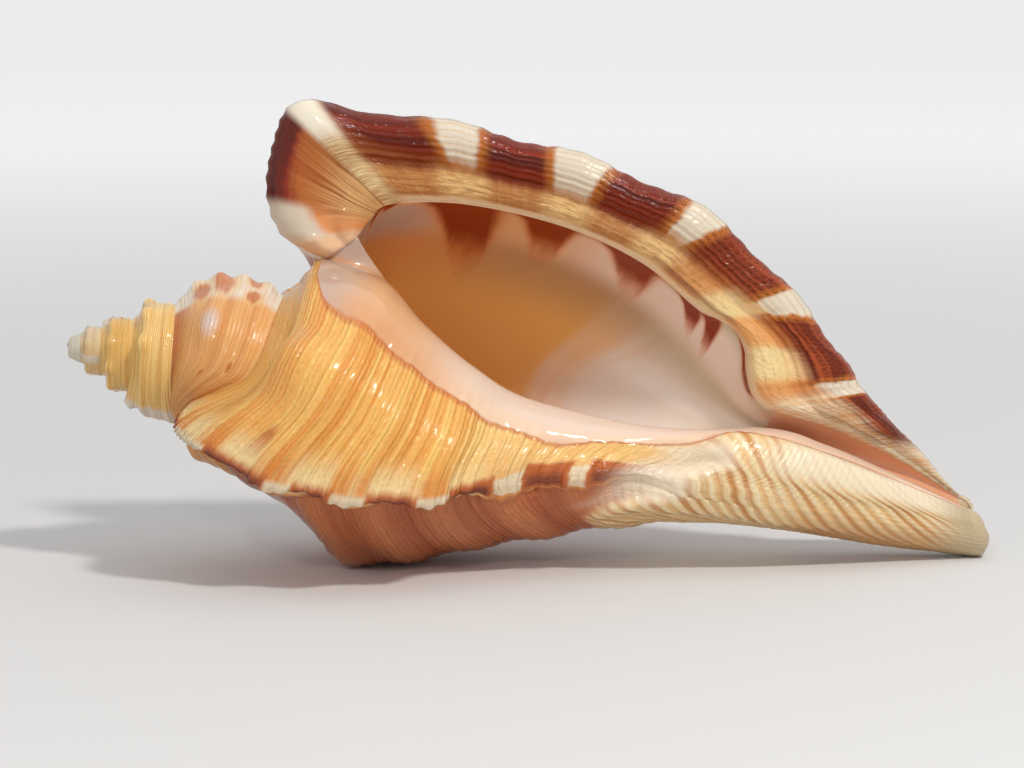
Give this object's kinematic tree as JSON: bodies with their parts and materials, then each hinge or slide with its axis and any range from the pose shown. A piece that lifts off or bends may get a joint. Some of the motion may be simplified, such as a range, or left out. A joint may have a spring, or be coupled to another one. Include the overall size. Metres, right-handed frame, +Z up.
{
  "type": "triton shell",
  "caption": "Sea snail shell with a short stepped spire, a wide flared lip round an open mouth and a long curved canal, lying on its side.",
  "frame": {"origin": "centre of the bounding box's bottom face, on the ground the shell lies on", "axes": "+X along the length from the spire to the canal's tip, -Y toward the viewer who looks into the mouth, +Z up"},
  "size_m": [0.121, 0.047, 0.0607],
  "materials": {
    "shell": "glossy orange and cream shell, whitish inside the mouth, brown and white bars round the lip"
  },
  "bodies": {
    "root": {"triton_shell": "shell"}
  },
  "joints": []
}
